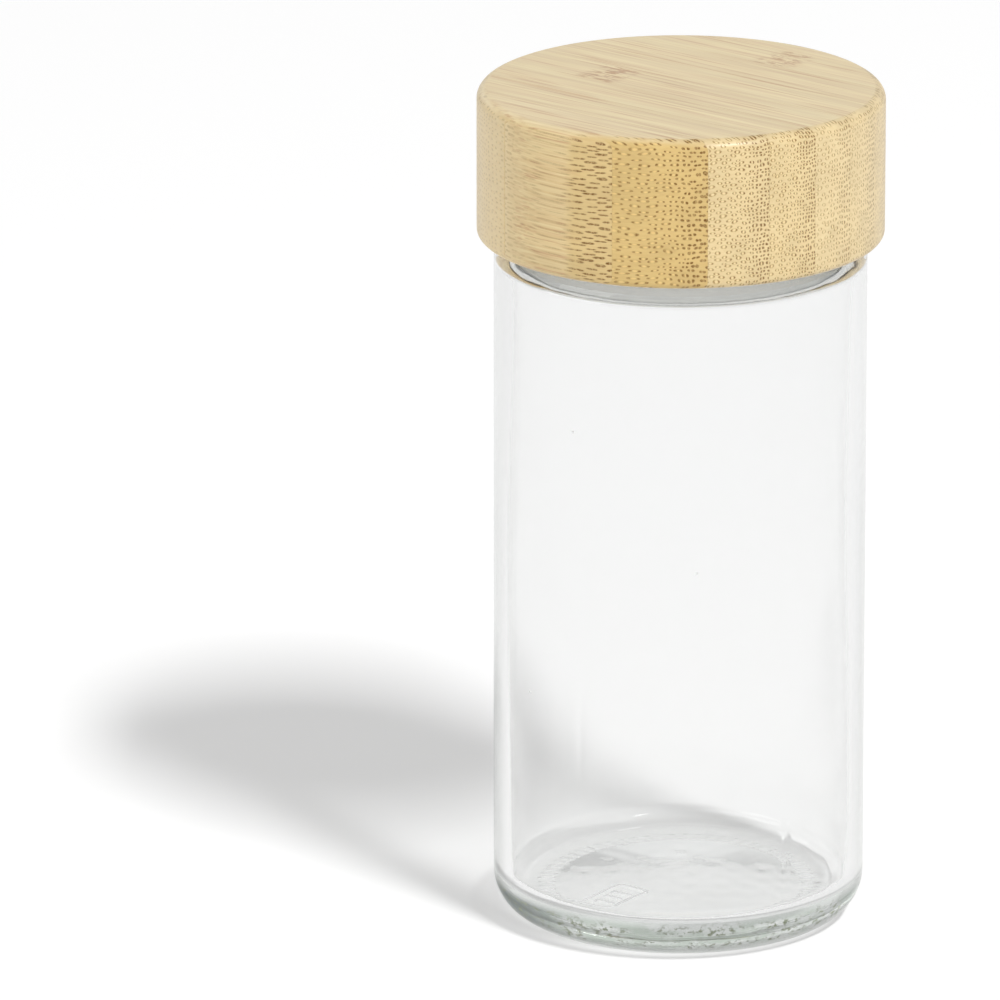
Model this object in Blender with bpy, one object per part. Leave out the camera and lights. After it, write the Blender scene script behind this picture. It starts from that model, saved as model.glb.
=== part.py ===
"""Spice jar: a moulded glass jar with a screw lid turned from laminated bamboo.

The jar stands on z = 0 with its axis on Z. The bamboo's grain runs along X and its strips are stacked along Y.
All sizes are in metres.
"""

import math

import bmesh
import bpy

# Glass body: the straight part, the floor and the heel
BODY_RADIUS = 0.0220
BODY_WALL = 0.0020
SHOULDER_HEIGHT = 0.0831
SHOULDER_RADIUS = 0.0022
SHOULDER_LAND = 0.0016
SHOULDER_WALL = 0.0024
INNER_SHOULDER_RADIUS = 0.0008
HEEL_RADIUS = 0.0050
BEARING_WIDTH = 0.0022
PUSH_UP = 0.0010
FLOOR_HEIGHT = 0.0050
FLOOR_RISE = 0.0007
INNER_HEEL_RADIUS = 0.0016

# Glass neck
NECK_WALL = 0.00225
NECK_HEIGHT = 0.0094
NECK_ROOT_RADIUS = 0.0006
RIM_RADIUS = 0.0007
THROAT_RADIUS = 0.0012
THROAT_DROP = 0.0005

# Plastic insert in the lid, and its liner
THREAD_SPACE = 0.00135
INSERT_WALL = 0.0012
INSERT_TOP = 0.0012
INSERT_RIB_HEIGHT = 0.00035
INSERT_RIBS = 24
INSERT_RECESS = 0.0005
INSERT_CHAMFER = 0.0004
BEAD_REACH = 0.00065
BEAD_HEIGHT = 0.0008
SEAL_THICKNESS = 0.0012
SEAL_EDGE = 0.0002

# Bamboo lid
LID_SKIRT = 0.0032
LID_TOP = 0.0055
LID_TOP_EDGE = 0.0014
LID_BOTTOM_EDGE = 0.00085
LID_POCKET_EDGE = 0.0004
STRIP_COUNT = 9
FIRST_STRIP = 0.0014
LAST_STRIP = 0.0039
GLUE_LINE = 0.0003

# Fits
LID_CLEARANCE = 0.0003
SEAL_CLEARANCE = 0.0003
GLUE_CLEARANCE = 0.0003
CUT_OVERRUN = 0.0020

# Facets
TURNED_FACETS = 64
LID_FACETS = 96
FACETS_PER_RIB = 4
ARC_STEPS = 5
SMALL_ARC_STEPS = 3
DOME_STEPS = 3
SHARP_ANGLE = math.radians(35)
WELD = 1e-7

# Sizes that follow from the ones above
NECK_RADIUS = BODY_RADIUS - SHOULDER_RADIUS - SHOULDER_LAND - NECK_ROOT_RADIUS
BORE_RADIUS = NECK_RADIUS - NECK_WALL
RIM_HEIGHT = SHOULDER_HEIGHT + NECK_HEIGHT
INSERT_INNER_RADIUS = NECK_RADIUS + THREAD_SPACE
INSERT_RADIUS = INSERT_INNER_RADIUS + INSERT_WALL
SEAL_BOTTOM = RIM_HEIGHT + SEAL_CLEARANCE
SEAL_RADIUS = INSERT_INNER_RADIUS - SEAL_CLEARANCE
INSERT_CEILING = SEAL_BOTTOM + SEAL_THICKNESS + SEAL_CLEARANCE
LID_BOTTOM = SHOULDER_HEIGHT + LID_CLEARANCE
POCKET_RADIUS = INSERT_RADIUS + INSERT_RIB_HEIGHT + GLUE_CLEARANCE
POCKET_DEPTH = INSERT_CEILING + INSERT_TOP + GLUE_CLEARANCE - LID_BOTTOM
LID_RADIUS = POCKET_RADIUS + LID_SKIRT
LID_HEIGHT = POCKET_DEPTH + LID_TOP
STRIP_THICKNESS = (2 * LID_RADIUS - FIRST_STRIP - LAST_STRIP) / (STRIP_COUNT - 2)


def clear_scene():
    for obj in list(bpy.data.objects):
        bpy.data.objects.remove(obj, do_unlink=True)


def material(name, colour, roughness, transmission=0.0, ior=1.45):
    """A Principled material in one linear colour."""
    made = bpy.data.materials.new(name)
    made.use_nodes = True
    shader = made.node_tree.nodes["Principled BSDF"]
    shader.inputs["Base Color"].default_value = (*colour, 1.0)
    shader.inputs["Roughness"].default_value = roughness
    shader.inputs["Metallic"].default_value = 0.0
    shader.inputs["Transmission Weight"].default_value = transmission
    shader.inputs["IOR"].default_value = ior
    made.diffuse_color = (*colour, 1.0 - transmission / 2)
    return made


def arc(centre, radius, start, end, steps=ARC_STEPS):
    """Points (r, z) on an arc from one angle to another, in degrees, both ends included."""
    points = []
    for step in range(steps + 1):
        angle = math.radians(start + (end - start) * step / steps)
        points.append((centre[0] + radius * math.cos(angle), centre[1] + radius * math.sin(angle)))
    return points


def dome(edge_radius, edge_height, rise, steps=DOME_STEPS):
    """Points (r, z) of a shallow dome, from its middle on the axis out to its edge."""
    sphere = (edge_radius**2 + rise**2) / (2 * rise)
    points = []
    for step in range(steps + 1):
        r = edge_radius * step / steps
        points.append((r, edge_height + rise - sphere + math.sqrt(sphere**2 - r**2)))
    return points


def turned_mesh(name, outline, facets, closed=False):
    """A mesh turned about Z from an outline of (r, z) points.

    An open outline starts and ends on the axis. A closed one makes a ring.
    """
    shape = bmesh.new()
    corners = [shape.verts.new((r, 0.0, z)) for r, z in outline]
    pairs = list(zip(corners, corners[1:]))
    if closed:
        pairs.append((corners[-1], corners[0]))
    edges = [shape.edges.new(pair) for pair in pairs]
    bmesh.ops.spin(
        shape,
        geom=corners + edges,
        cent=(0.0, 0.0, 0.0),
        axis=(0.0, 0.0, 1.0),
        angle=math.tau,
        steps=facets,
        use_merge=True,
    )
    bmesh.ops.remove_doubles(shape, verts=shape.verts, dist=WELD)
    bmesh.ops.recalc_face_normals(shape, faces=shape.faces)
    mesh = bpy.data.meshes.new(name)
    shape.to_mesh(mesh)
    shape.free()
    mesh.shade_smooth()
    mesh.set_sharp_from_angle(angle=SHARP_ANGLE)
    return mesh


def place(name, mesh, finish, height=0.0, parent=None):
    """Adds an object at a height on the axis. Under a parent, the height is measured from the parent."""
    obj = bpy.data.objects.new(name, mesh)
    bpy.context.scene.collection.objects.link(obj)
    obj.location = (0.0, 0.0, height)
    obj.parent = parent
    if not mesh.materials:
        mesh.materials.append(None)
    obj.material_slots[0].link = "OBJECT"
    obj.material_slots[0].material = finish
    return obj


def lid_empty():
    """The lid's frame: on the screw axis, at the bottom edge of the bamboo."""
    empty = bpy.data.objects.new("lid_axis", None)
    bpy.context.scene.collection.objects.link(empty)
    empty.location = (0.0, 0.0, LID_BOTTOM)
    empty.empty_display_size = LID_RADIUS
    return empty


def jar_outline():
    """The glass from the middle of its underside, up the outside, over the rim and down the inside."""
    heel_centre = (BODY_RADIUS - HEEL_RADIUS, HEEL_RADIUS)
    shoulder_centre = (BODY_RADIUS - SHOULDER_RADIUS, SHOULDER_HEIGHT - SHOULDER_RADIUS)
    neck_root = (NECK_RADIUS + NECK_ROOT_RADIUS, SHOULDER_HEIGHT + NECK_ROOT_RADIUS)
    rim_outer = (NECK_RADIUS - RIM_RADIUS, RIM_HEIGHT - RIM_RADIUS)
    rim_inner = (BORE_RADIUS + RIM_RADIUS, RIM_HEIGHT - RIM_RADIUS)
    inner_radius = BODY_RADIUS - BODY_WALL
    ceiling = SHOULDER_HEIGHT - SHOULDER_WALL
    inner_shoulder = (inner_radius - INNER_SHOULDER_RADIUS, ceiling - INNER_SHOULDER_RADIUS)
    throat_height = ceiling + THROAT_DROP
    throat = (BORE_RADIUS + THROAT_RADIUS, throat_height + THROAT_RADIUS)
    inner_heel = (inner_radius - INNER_HEEL_RADIUS, FLOOR_HEIGHT + INNER_HEEL_RADIUS)

    points = dome(BODY_RADIUS - HEEL_RADIUS - BEARING_WIDTH, 0.0, PUSH_UP)
    points += arc(heel_centre, HEEL_RADIUS, -90, 0)
    points += arc(shoulder_centre, SHOULDER_RADIUS, 0, 90)
    points += arc(neck_root, NECK_ROOT_RADIUS, 270, 180, SMALL_ARC_STEPS)
    points += arc(rim_outer, RIM_RADIUS, 0, 90, SMALL_ARC_STEPS)
    points += arc(rim_inner, RIM_RADIUS, 90, 180, SMALL_ARC_STEPS)
    points += arc(throat, THROAT_RADIUS, 180, 270, SMALL_ARC_STEPS)
    points += arc(inner_shoulder, INNER_SHOULDER_RADIUS, 90, 0, SMALL_ARC_STEPS)
    points += arc(inner_heel, INNER_HEEL_RADIUS, 0, -90)
    points += reversed(dome(inner_heel[0], FLOOR_HEIGHT, FLOOR_RISE)[:-1])
    return points


def build_jar():
    glass = material("clear_glass", (0.93, 0.95, 0.93), 0.02, transmission=1.0, ior=1.52)
    place("glass_jar", turned_mesh("glass_jar", jar_outline(), TURNED_FACETS), glass)


def insert_outline():
    """The insert between its ribs: from the middle of its top, down its outer wall and up its inner wall.

    Heights are measured from the lid's bottom edge.
    """
    bottom = INSERT_RECESS
    ceiling = INSERT_CEILING - LID_BOTTOM
    top = ceiling + INSERT_TOP
    bead_top = SEAL_BOTTOM - SEAL_CLEARANCE - LID_BOTTOM
    bead_bottom = bead_top - BEAD_HEIGHT
    return [
        (0.0, top),
        (INSERT_RADIUS - INSERT_CHAMFER, top),
        (INSERT_RADIUS, top - INSERT_CHAMFER),
        (INSERT_RADIUS, bottom),
        (INSERT_INNER_RADIUS + INSERT_CHAMFER, bottom),
        (INSERT_INNER_RADIUS, bottom + INSERT_CHAMFER),
        (INSERT_INNER_RADIUS, bead_bottom),
        (INSERT_INNER_RADIUS - BEAD_REACH, bead_bottom + BEAD_HEIGHT / 2),
        (INSERT_INNER_RADIUS, bead_top),
        (INSERT_INNER_RADIUS, ceiling),
        (0.0, ceiling),
    ]


def build_insert(lid):
    """The insert is turned, and then its outer wall is pushed out in ribs, which key it into the glue."""
    plastic = material("white_plastic", (0.86, 0.86, 0.84), 0.35)
    facets = INSERT_RIBS * FACETS_PER_RIB
    mesh = turned_mesh("threaded_insert", insert_outline(), facets)
    rib_scale = (INSERT_RADIUS + INSERT_RIB_HEIGHT) / INSERT_RADIUS
    for vertex in mesh.vertices:
        facet = round(math.atan2(vertex.co.y, vertex.co.x) / math.tau * facets)
        on_outer_wall = math.hypot(vertex.co.x, vertex.co.y) > INSERT_RADIUS - INSERT_CHAMFER / 2
        if on_outer_wall and facet % FACETS_PER_RIB < FACETS_PER_RIB // 2:
            vertex.co.x *= rib_scale
            vertex.co.y *= rib_scale
    place("threaded_insert", mesh, plastic, parent=lid)


def build_seal():
    foam = material("seal_foam", (0.80, 0.80, 0.78), 0.70)
    outline = [
        (0.0, SEAL_THICKNESS),
        (SEAL_RADIUS - SEAL_EDGE, SEAL_THICKNESS),
        (SEAL_RADIUS, SEAL_THICKNESS - SEAL_EDGE),
        (SEAL_RADIUS, SEAL_EDGE),
        (SEAL_RADIUS - SEAL_EDGE, 0.0),
        (0.0, 0.0),
    ]
    place("seal_disc", turned_mesh("seal_disc", outline, TURNED_FACETS), foam, SEAL_BOTTOM)


def lid_outline():
    """The turned lid before it is parted into strips, from the middle of its top to the middle of its pocket."""
    top_edge = (LID_RADIUS - LID_TOP_EDGE, LID_HEIGHT - LID_TOP_EDGE)
    bottom_edge = (LID_RADIUS - LID_BOTTOM_EDGE, LID_BOTTOM_EDGE)
    pocket_edge = (POCKET_RADIUS + LID_POCKET_EDGE, LID_POCKET_EDGE)
    points = [(0.0, LID_HEIGHT)]
    points += arc(top_edge, LID_TOP_EDGE, 90, 0)
    points += arc(bottom_edge, LID_BOTTOM_EDGE, 0, -90, SMALL_ARC_STEPS)
    points += arc(pocket_edge, LID_POCKET_EDGE, 270, 180, SMALL_ARC_STEPS)
    points += [(POCKET_RADIUS, POCKET_DEPTH), (0.0, POCKET_DEPTH)]
    return points


def seams():
    """Where the glue lines cross Y, from the side that the photograph shows at its left to the other side."""
    first = FIRST_STRIP - LID_RADIUS
    return [first + n * STRIP_THICKNESS for n in range(STRIP_COUNT - 1)]


def slab(name, low, high, lid):
    """A cutter as long and as tall as the lid, between two values of Y."""
    half = LID_RADIUS + CUT_OVERRUN
    shape = bmesh.new()
    bmesh.ops.create_cube(shape, size=1.0)
    size = (2 * half, high - low, LID_HEIGHT + 2 * CUT_OVERRUN)
    middle = (0.0, (low + high) / 2, LID_HEIGHT / 2)
    for vertex in shape.verts:
        vertex.co = [c * side + at for c, side, at in zip(vertex.co, size, middle)]
    mesh = bpy.data.meshes.new(name)
    shape.to_mesh(mesh)
    shape.free()
    cutter = bpy.data.objects.new(name, mesh)
    bpy.context.scene.collection.objects.link(cutter)
    cutter.parent = lid
    cutter.hide_render = True
    cutter.display_type = "WIRE"
    return cutter


def build_strips(lid):
    """Every strip starts as the whole turned lid and keeps what lies between its two glue lines."""
    blank = turned_mesh("lid_blank", lid_outline(), LID_FACETS)
    half_glue = GLUE_LINE / 2
    outside = LID_RADIUS + CUT_OVERRUN
    lows = [-outside] + [seam + half_glue for seam in seams()]
    highs = [seam - half_glue for seam in seams()] + [outside]
    tones = [(0.60, 0.43, 0.25), (0.66, 0.48, 0.28), (0.70, 0.53, 0.33)]
    for n, (low, high) in enumerate(zip(lows, highs), start=1):
        finish = material(f"bamboo_{n}", tones[n % len(tones)], 0.5)
        strip = place(f"bamboo_strip_{n}", blank, finish, parent=lid)
        part = strip.modifiers.new("strip", "BOOLEAN")
        part.operation = "INTERSECT"
        part.solver = "EXACT"
        part.object = slab(f"strip_cutter_{n}", low, high, lid)


def main():
    clear_scene()
    build_jar()
    lid = lid_empty()
    build_seal()
    build_insert(lid)
    build_strips(lid)


main()
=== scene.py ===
"""Looks of the spice jar: moulded glass, laminated bamboo, the plastic insert, its liner and the studio.

Sizes are in metres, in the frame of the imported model: Z is up, the jar stands on z = 0 and the bamboo's
grain runs along X. Shader groups work in millimetres.
"""

import collections
import contextlib
import math

import bmesh
import bpy
import numpy as np
from bpy.props import FloatProperty, FloatVectorProperty, IntProperty, PointerProperty
from mathutils import Matrix, Quaternion, Vector


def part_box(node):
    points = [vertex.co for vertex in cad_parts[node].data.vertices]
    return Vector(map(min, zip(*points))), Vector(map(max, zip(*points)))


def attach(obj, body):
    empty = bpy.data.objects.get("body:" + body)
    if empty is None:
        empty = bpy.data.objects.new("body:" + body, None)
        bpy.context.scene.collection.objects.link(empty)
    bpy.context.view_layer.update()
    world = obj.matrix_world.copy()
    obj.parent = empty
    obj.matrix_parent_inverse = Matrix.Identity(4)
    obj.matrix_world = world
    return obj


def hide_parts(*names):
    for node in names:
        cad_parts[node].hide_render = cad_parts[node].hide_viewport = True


bl_info = {
    "name": "Spice Jar",
    "version": (1, 0, 0),
    "blender": (4, 5, 0),
    "location": "3D View > Sidebar > Spice Jar",
    "description": "A moulded glass spice jar with a screw lid of laminated bamboo",
    "category": "Add Mesh",
}

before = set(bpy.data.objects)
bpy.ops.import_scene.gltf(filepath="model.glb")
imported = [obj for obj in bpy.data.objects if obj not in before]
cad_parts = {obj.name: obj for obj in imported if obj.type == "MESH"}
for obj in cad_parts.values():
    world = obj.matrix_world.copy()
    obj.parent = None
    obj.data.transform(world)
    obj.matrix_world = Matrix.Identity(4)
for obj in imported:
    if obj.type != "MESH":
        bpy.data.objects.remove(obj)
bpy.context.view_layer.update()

MM = 0.001
PER_MM = 1000.0
WHITE = (1.0, 1.0, 1.0, 1.0)
JAR_HIGH = Vector(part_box("glass_jar")[1])
INSERT_LOW, INSERT_HIGH = (Vector(corner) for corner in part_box("threaded_insert"))
SEAL_LOW, SEAL_HIGH = (Vector(corner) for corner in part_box("seal_disc"))
STRIPS = sorted(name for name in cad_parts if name.startswith("bamboo_strip_"))
STRIP_BOXES = [[Vector(corner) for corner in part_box(name)] for name in STRIPS]
LID_RADIUS = max(high.x for _, high in STRIP_BOXES)
LID_BOTTOM = min(low.z for low, _ in STRIP_BOXES)
LID_TOP = max(high.z for _, high in STRIP_BOXES)
# The angle over which a thread tapers off at each end
TAPER = 0.35


def amount(name, description, default, low=0.0, high=1.0, **kind):
    return FloatProperty(name=name, description=description, default=default, min=low, max=high, **kind)


def length(name, description, default, low=0.0, high=1.0):
    return amount(name, description, default, low, high, subtype="DISTANCE", unit="LENGTH")


def degrees(name, description, default):
    return amount(name, description, math.radians(default), -math.tau, math.tau, subtype="ANGLE")


def watts(name, description, default):
    return amount(name, description, default, 0.0, 1000.0, unit="POWER")


def count(name, description, default, low, high):
    return IntProperty(name=name, description=description, default=default, min=low, max=high)


def colour(name, description, default):
    return FloatVectorProperty(
        name=name, description=description, default=default, size=3, min=0.0, max=1.0, subtype="COLOR"
    )


class GlassSettings(bpy.types.PropertyGroup):
    """Sizes of the moulded glass, and how it looks"""

    wall: length("Wall", "Thickness of the straight wall", 0.0020)
    shoulder_height: length("Shoulder height", "Height of the flat land round the neck", 0.0831)
    shoulder_radius: length("Shoulder radius", "Rounding from the body to the shoulder", 0.0022)
    shoulder_wall: length("Shoulder wall", "Thickness of the shoulder", 0.0024)
    inner_shoulder_radius: length("Inner shoulder", "Rounding from wall to shoulder inside", 0.0008)
    shoulder_land: length("Shoulder land", "Width of the flat land round the neck", 0.0016)
    heel_radius: length("Heel radius", "Rounding from the base to the body", 0.0050)
    bearing_width: length("Bearing width", "Width of the flat ring that the jar stands on", 0.0022)
    push_up: length("Push-up", "How far the middle of the base is pushed up", 0.0010)
    floor_height: length("Floor height", "Height of the inside floor at its edge", 0.0043)
    floor_rise: length("Floor rise", "How far the inside floor rises to its middle", 0.0007)
    inner_heel_radius: length("Inner heel", "Rounding from the inside floor to the wall", 0.0022)
    neck_wall: length("Neck wall", "Thickness of the neck", 0.00225)
    neck_root_radius: length("Neck root", "Fillet between the shoulder and the neck", 0.0006)
    rim_radius: length("Rim radius", "Rounding of each edge of the rim", 0.0007)
    throat_radius: length("Throat radius", "Rounding of the bore's lower edge", 0.0012)
    throat_drop: length("Throat drop", "How far the bore's lower edge stands up inside", 0.0005)
    ripple: length("Ripple", "Unevenness of the inside wall", 0.00012)
    seam: length("Seam", "Height of the mould seam", 0.00006)
    seam_width: length("Seam width", "Half the width of the mould seam", 0.00025)
    seam_turn: degrees("Seam turn", "Where the mould seam is, round the jar", -16.0)
    ridge: length("Bearing ridges", "Depth of the ridges in the bearing ring", 0.00006)
    wrinkle: length("Wrinkle", "Unevenness of the floor and the heel", 0.00002)
    wrinkle_size: length("Wrinkle size", "Distance from one wrinkle to the next", 0.0030)
    ridge_count: count("Ridge count", "Ridges round the bearing ring", 64, 8, 200)
    mark_depth: length("Mark depth", "How deep the moulded mark in the underside is", 0.00030)
    clear: colour("Clear", "Colour of the glass where it is clear", (0.955, 0.955, 0.955))
    # Edge is a painted shade, put on the wall where it is seen edge on
    edge: colour("Edge", "Colour of the wall where it is seen edge on", (0.72, 0.73, 0.72))
    cloud: colour("Cloud", "Colour of the cloudy patches in the heel", (0.58, 0.66, 0.57))
    fleck: colour("Fleck", "Colour of the flecks in the heel", (0.12, 0.14, 0.07))
    # Painted shade: the darker colour put on the ends of the heel as it is seen, and the turn that places
    # it
    painted_end_shade: colour("Thick", "Colour of the heel where its glass is thickest", (0.05, 0.07, 0.07))
    painted_shade_turn: degrees("Thick side", "Where the heel is thickest, round the jar", 39.0)
    tint: colour("Tint", "Colour that light takes on in thick glass", (0.52, 0.57, 0.53))
    tint_strength: amount("Tint strength", "How quickly glass tints light, per metre", 18.0, 0.0, 100.0)


class ThreadSettings(bpy.types.PropertyGroup):
    """The screw thread that the neck and the insert share"""

    pitch: length("Pitch", "Rise of the thread in one turn", 0.0254 / 6)
    height: length("Height", "How far a thread stands out of its wall", 0.0011)
    root: length("Root width", "Width of a thread at its wall", 0.0023)
    crest: length("Crest width", "Width of a thread at its top", 0.0010)
    neck_turns: amount("Neck turns", "Turns of thread on the neck", 1.15, 0.2, 4.0)
    insert_turns: amount("Insert turns", "Turns of thread in the insert", 1.35, 0.2, 4.0)
    below_rim: length("Below the rim", "From the rim to the top end of the neck's thread", 0.0019)


class BambooSettings(bpy.types.PropertyGroup):
    """Colours and grain of the laminated bamboo"""

    top_edge: length("Top edge", "Rounding of the lid's top edge", 0.0014)
    bottom_edge: length("Bottom edge", "Rounding of the lid's bottom edge", 0.00085)
    glue_line: length("Glue line", "Gap that is left between two strips", 0.00002)
    top: length("Top", "Thickness of bamboo over the insert", 0.0055)
    pale: colour("Pale", "Colour of the palest strips", (0.76, 0.615, 0.36))
    golden: colour("Golden", "Colour of the darkest strips", (0.62, 0.425, 0.145))
    fibre: colour("Fibre", "Colour of the fibre bundles cut across", (0.15, 0.058, 0.0))
    rim: colour("Rim", "Colour of the thin rims round the bundles", (0.30, 0.165, 0.02))
    streak: colour("Streak", "Colour of the fine streaks along the grain", (0.55, 0.34, 0.18))
    # Lengthwise is also painted as a sheen on the lid's far end, where it is seen edge on
    lengthwise_and_sheen: colour("Lengthwise", "Colour of bamboo seen along its grain", (0.81, 0.685, 0.455))
    roughness: amount("Roughness", "Roughness of the surface", 0.42)
    coat: amount("Coat", "Strength of the lacquer's sheen", 0.42)


class LinerSettings(bpy.types.PropertyGroup):
    """The plastic insert in the lid and its soft liner"""

    wall: length("Insert wall", "Thickness of the insert's wall", 0.0012)
    top: length("Insert top", "Thickness of the insert's top", 0.0012)
    rib_height: length("Rib height", "Height of the insert's outer ribs", 0.00035)
    ribs: count("Ribs", "Number of outer ribs", 24, 3, 96)
    chamfer: length("Chamfer", "Bevel of the insert's edges", 0.0004)
    bead_reach: length("Bead reach", "How far the bead under the liner stands in", 0.00065)
    bead_height: length("Bead height", "Height of the bead under the liner", 0.0008)
    liner_edge: length("Liner edge", "Rounding of the liner's edges", 0.0002)
    plastic: colour("Plastic", "Colour of the insert", (0.88, 0.88, 0.86))
    foam: colour("Foam", "Colour of the liner", (0.74, 0.74, 0.71))


class StudioSettings(bpy.types.PropertyGroup):
    """Camera, lamps and floor"""

    azimuth: degrees("Azimuth", "Camera's turn round the jar", 39.0)
    elevation: degrees("Elevation", "Camera's height angle", 17.18)
    distance: length("Distance", "From the camera to the jar's middle", 1.634, 0.1, 10.0)
    aim_height: length("Aim height", "Height of the point that the camera was measured to", 0.050)
    focal_pixels: amount("Focal length", "In pixels of the frame", 13813.0, 100.0, 99999.0)
    frame_pixels: amount("Frame", "Width of the frame in pixels", 1000.0, 100.0, 9999.0)
    jar_pixel: FloatVectorProperty(
        name="Jar's pixel", description="Where the measured point lies", default=(679.6, 503.8), size=2
    )
    key_turn: degrees("Key turn", "Key lamp's turn to the right of the camera", 36.0)
    key_elevation: degrees("Key elevation", "Key lamp's height angle", 51.3)
    key_distance: length("Key distance", "From the key lamp to the jar", 4.0, 0.1, 10.0)
    key_length: length("Key length", "Long side of the key lamp", 0.90, 0.01, 4.0)
    key_width: length("Key width", "Short side of the key lamp", 0.34, 0.01, 4.0)
    key_roll: degrees("Key roll", "Turn of the key lamp's long side from level", 47.0)
    key_power: watts("Key power", "Power of the key lamp", 100.0)
    fill_turn: degrees("Fill turn", "Fill lamp's turn to the right of the camera", -62.0)
    fill_elevation: degrees("Fill elevation", "Fill lamp's height angle", 28.0)
    fill_distance: length("Fill distance", "From the fill lamp to the jar", 4.4, 0.1, 10.0)
    fill_size: length("Fill size", "Side of the fill lamp", 2.9, 0.01, 4.0)
    fill_power: watts("Fill power", "Power of the fill lamp", 36.0)
    ambient: amount("Ambient", "Strength of the light from overhead", 0.35, 0.0, 2.0)
    horizon: amount("Horizon", "Strength of the light from the horizon", 0.80, 0.0, 2.0)
    mirrored_low: amount("Mirrored low", "Darkest surroundings that glass mirrors", 0.62)
    mirrored_high: amount("Mirrored high", "Brightest surroundings that glass mirrors", 1.0)
    mirrored_scale: amount("Mirrored scale", "How finely what glass mirrors varies", 3.0, 0.1, 50.0)
    floor: colour("Floor", "Colour of the floor", (0.92, 0.92, 0.92))
    floor_reach: length("Floor reach", "Half the side of the floor", 6.0, 1.0, 50.0)
    floor_drop: length("Floor drop", "How far the floor lies below the jar", 0.00005)
    floor_lift: amount("Floor lift", "What the floor adds where it is seen, to reach white", 0.105)
    through_lift: amount("Lift through glass", "What it adds besides, seen through glass", 0.02)


class Wires:
    """Adds nodes to one node tree and joins them"""

    def __init__(self, tree):
        self.tree = tree

    def add(self, kind, *values, **settings):
        made = self.tree.nodes.new(kind)
        for name, value in settings.items():
            setattr(made, name, value)
        for socket, value in zip(made.inputs, values):
            self.put(socket, value)
        return made

    def put(self, socket, value):
        if isinstance(value, bpy.types.NodeSocket):
            self.tree.links.new(value, socket)
        elif value is not None:
            socket.default_value = value

    def fill(self, node, **values):
        """Fills inputs of a node. Underscores in a value's name stand for spaces in its socket's."""
        for label, value in values.items():
            self.put(node.inputs[label.replace("_", " ")], value)
        return node.outputs

    def group(self, name, **values):
        return self.fill(self.add("ShaderNodeGroup", node_tree=bpy.data.node_groups[name]), **values)

    def maths(self, operation, *values, clamp=False):
        return self.add("ShaderNodeMath", *values, operation=operation, use_clamp=clamp).outputs[0]

    def plus(self, first, second):
        return self.maths("ADD", first, second)

    def minus(self, first, second):
        return self.maths("SUBTRACT", first, second)

    def times(self, first, *others):
        for other in others:
            first = self.maths("MULTIPLY", first, other)
        return first

    def over(self, first, second):
        return self.maths("DIVIDE", first, second)

    def squared(self, value):
        return self.maths("POWER", value, 2.0)

    def line(self, value, slope, start):
        """start + slope * value"""
        return self.maths("MULTIPLY_ADD", value, slope, start)

    def vector(self, operation, *values):
        return self.add("ShaderNodeVectorMath", *values, operation=operation).outputs[0]

    def stretched(self, value, x, y, z):
        return self.vector("MULTIPLY", value, (x, y, z))

    def split(self, value):
        return self.add("ShaderNodeSeparateXYZ", value).outputs

    def join(self, x, y, z):
        return self.add("ShaderNodeCombineXYZ", x, y, z).outputs[0]

    def blend(self, factor, first, second, blend_type="MIX"):
        """Mixes two colours."""
        made = self.add("ShaderNodeMix", data_type="RGBA", blend_type=blend_type)
        return self.fill(made, Factor=factor, A=first, B=second)["Result"]

    def ease(self, value, low, high, to_low=0.0, to_high=1.0):
        """Runs smoothly from to_low to to_high while value runs from low to high."""
        values = (value, low, high, to_low, to_high)
        return self.add("ShaderNodeMapRange", *values, interpolation_type="SMOOTHSTEP").outputs[0]

    def noise(self, vector, scale, detail=2.0, roughness=0.5, output="Fac"):
        made = self.add("ShaderNodeTexNoise", vector)
        return self.fill(made, Scale=scale, Detail=detail, Roughness=roughness)[output]

    def bump(self, height, strength, distance):
        made = self.add("ShaderNodeBump")
        return self.fill(made, Strength=strength, Distance=distance, Height=height)[0]

    def grey(self, value):
        return self.add("ShaderNodeCombineColor", value, value, value).outputs[0]


# How one strip looks: its tone from pale 0 to golden 1, the strength of its bundles' caps and rims and how
# light their cores are, the strip whose far side its bundles crowd towards, how closely and how quickly
# less so, the height of two rows of them, how far apart a bundle's caps lie there, how far in mm the dark
# caps reach, and where along X it has a node, if it does
StripLook = collections.namedtuple(
    "StripLook", "tone caps rims core dense crowding thinning rows gap reach node", defaults=(9.0, None)
)


def rgba(values, share=1.0):
    """A colour for a socket. With a share it is dimmer, or lighter up to 1."""
    return (*(min(1.0, value * share) for value in values), 1.0)


def new_group(name, inputs, outputs):
    """A shader group with its sockets: inputs maps a name to (kind, default), and outputs are masks."""
    tree = bpy.data.node_groups.new(name, "ShaderNodeTree")
    for label, (kind, default) in inputs.items():
        socket = tree.interface.new_socket(label, in_out="INPUT", socket_type=f"NodeSocket{kind}")
        if default is not None:
            socket.default_value = default
    for label in outputs:
        tree.interface.new_socket(label, in_out="OUTPUT", socket_type="NodeSocketFloat")
    wires = Wires(tree)
    entry = wires.add("NodeGroupInput").outputs
    leave = wires.add("NodeGroupOutput")
    return wires, entry, leave


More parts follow.
